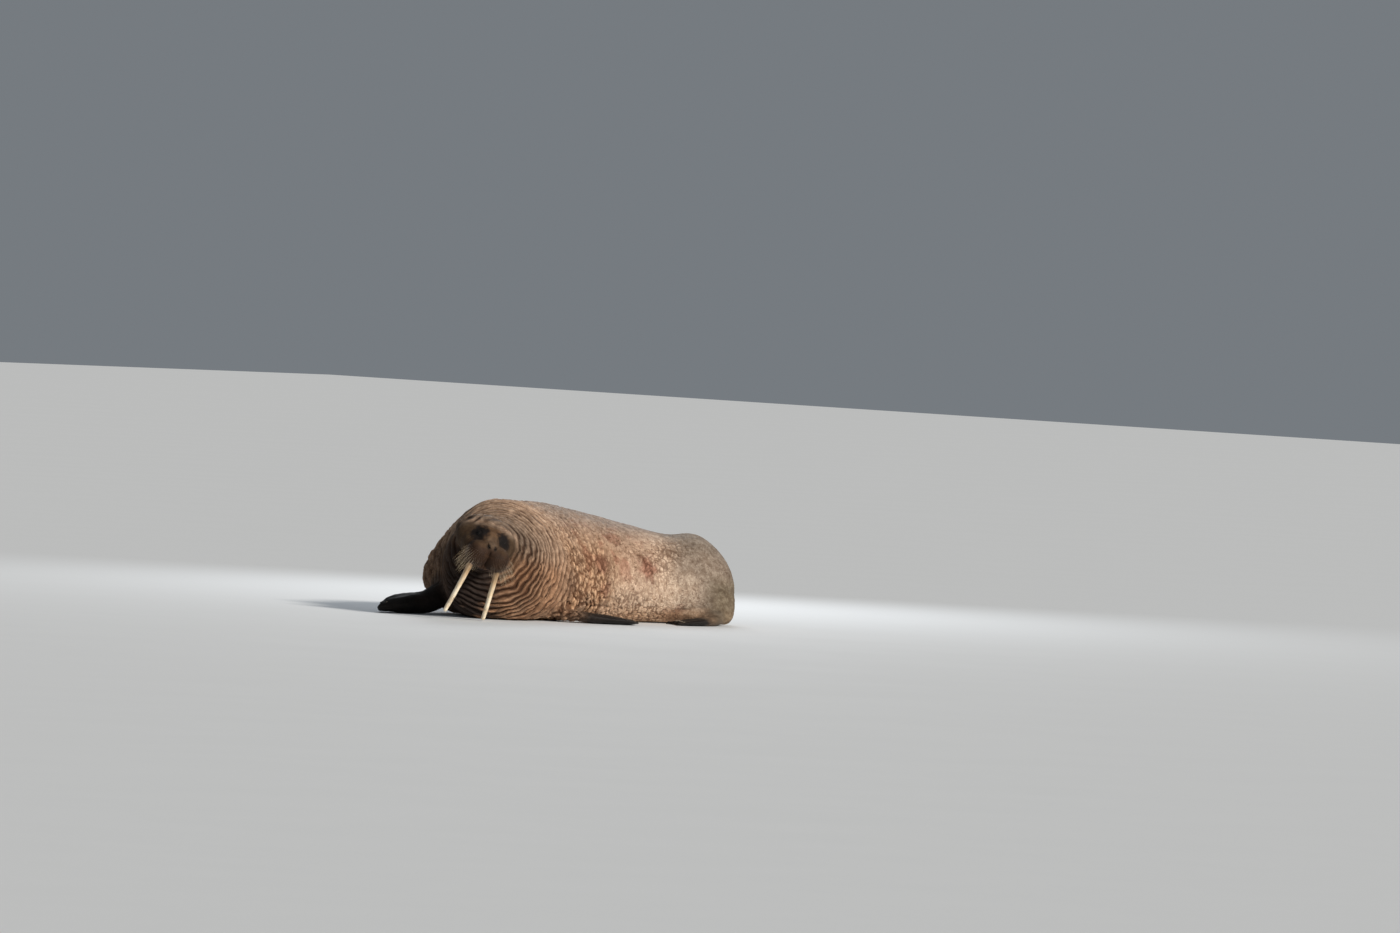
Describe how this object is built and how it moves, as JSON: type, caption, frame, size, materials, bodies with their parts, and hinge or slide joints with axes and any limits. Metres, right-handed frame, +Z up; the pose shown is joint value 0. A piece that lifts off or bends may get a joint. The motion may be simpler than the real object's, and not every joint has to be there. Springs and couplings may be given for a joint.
{
  "type": "walrus",
  "caption": "Life-size walrus lying on its belly with its head up: tusks, whiskered muzzle, folded neck, trunk bent to one side, foreflippers out and hindflippers turned forwards.",
  "frame": {"origin": "middle of the footprint, on the floor that the belly, flippers and heels rest on", "axes": "+X from the muzzle towards the rump, +Z up; the trunk bends towards +Y at its rear"},
  "size_m": [2.937, 1.6542, 0.896],
  "materials": {
    "skin": "dry, creased, short fur",
    "muzzle": "dry, short fur, stiff bristles",
    "flipper": "bare creased skin",
    "tusk": "satin ivory with fine cracks",
    "eye": "wet",
    "whisker": "stiff translucent bristle",
    "claw": "worn horn"
  },
  "bodies": {
    "root": {"head": "skin", "lower_jaw": "skin", "whisker_pad_left": "muzzle", "whisker_pad_right": "muzzle", "tusk_left": "tusk", "tusk_right": "tusk", "eye_left": "eye", "eye_right": "eye", "neck": "skin", "chest": "skin", "belly": "skin", "rump": "skin", "tail": "skin", "arm_left": "skin", "arm_right": "skin", "foreflipper_left": "flipper", "foreflipper_right": "flipper", "hind_leg_left": "skin", "hind_leg_right": "skin", "hind_flipper_left": "flipper", "hind_flipper_right": "flipper"}
  },
  "joints": []
}
